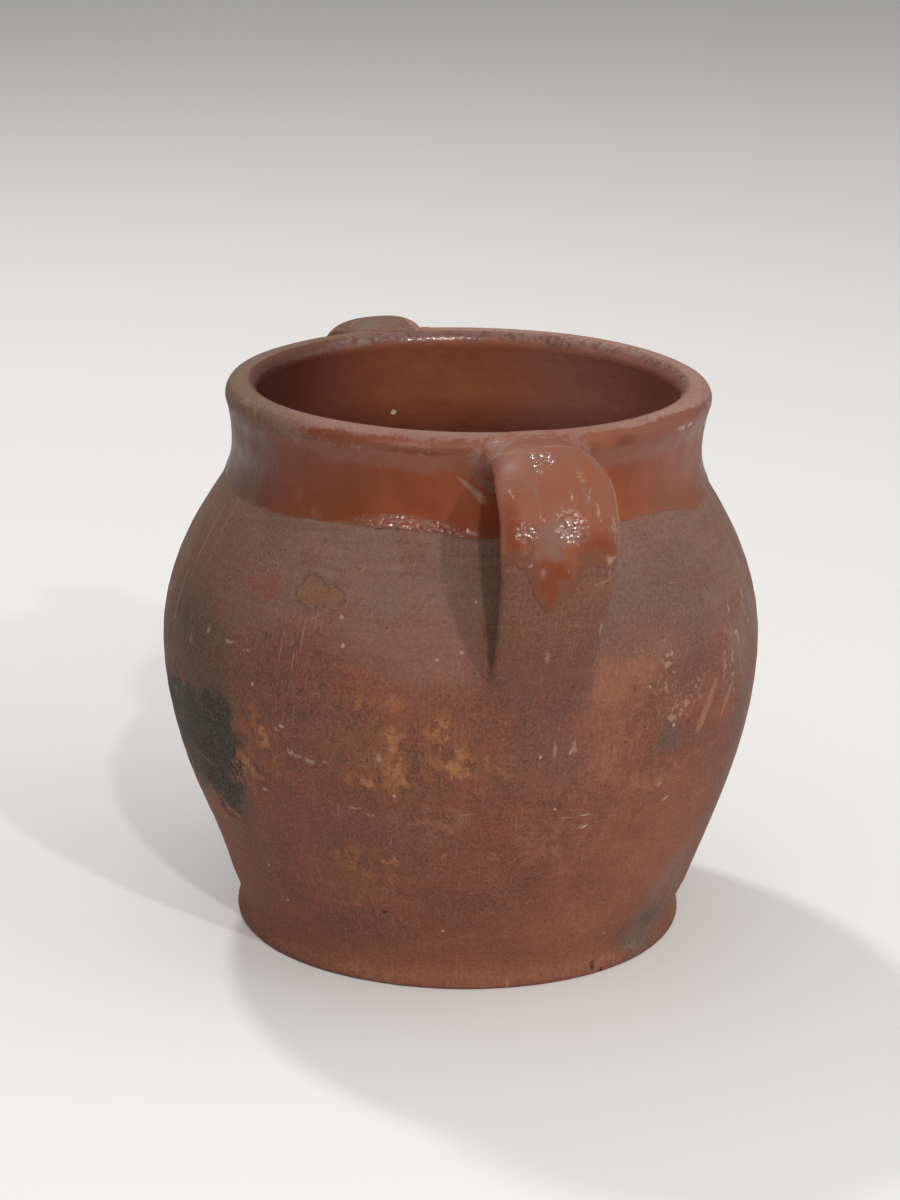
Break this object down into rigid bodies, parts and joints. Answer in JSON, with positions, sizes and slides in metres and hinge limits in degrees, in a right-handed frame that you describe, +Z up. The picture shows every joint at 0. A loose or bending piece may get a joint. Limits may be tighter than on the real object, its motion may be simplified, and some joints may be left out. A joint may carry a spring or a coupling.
{
  "type": "two-handled clay pot",
  "caption": "Round-bellied earthenware pot with a flat foot, rolled lip and strap handles from rim to shoulder, glazed inside and round the neck.",
  "frame": {"origin": "centre of the flat base", "axes": "+Z up along the turning axis, handles along Y with the front handle at -Y"},
  "size_m": [0.2142, 0.2589, 0.2019],
  "materials": {
    "clay": "matte fired red clay, sooted and flaked",
    "slip": "matte wiped slip",
    "inner_glaze": "glossy dark red-brown lead-style glaze",
    "outer_glaze": "glossy honey-brown glaze, worn"
  },
  "bodies": {
    "root": {"thrown_body": "clay", "front_handle": "clay", "rear_handle": "clay", "front_upper_slip": "slip", "front_lower_slip": "slip", "rear_upper_slip": "slip", "rear_lower_slip": "slip", "inside_glaze": "inner_glaze", "neck_glaze": "outer_glaze", "front_handle_glaze": "outer_glaze", "rear_handle_glaze": "outer_glaze"}
  },
  "joints": []
}
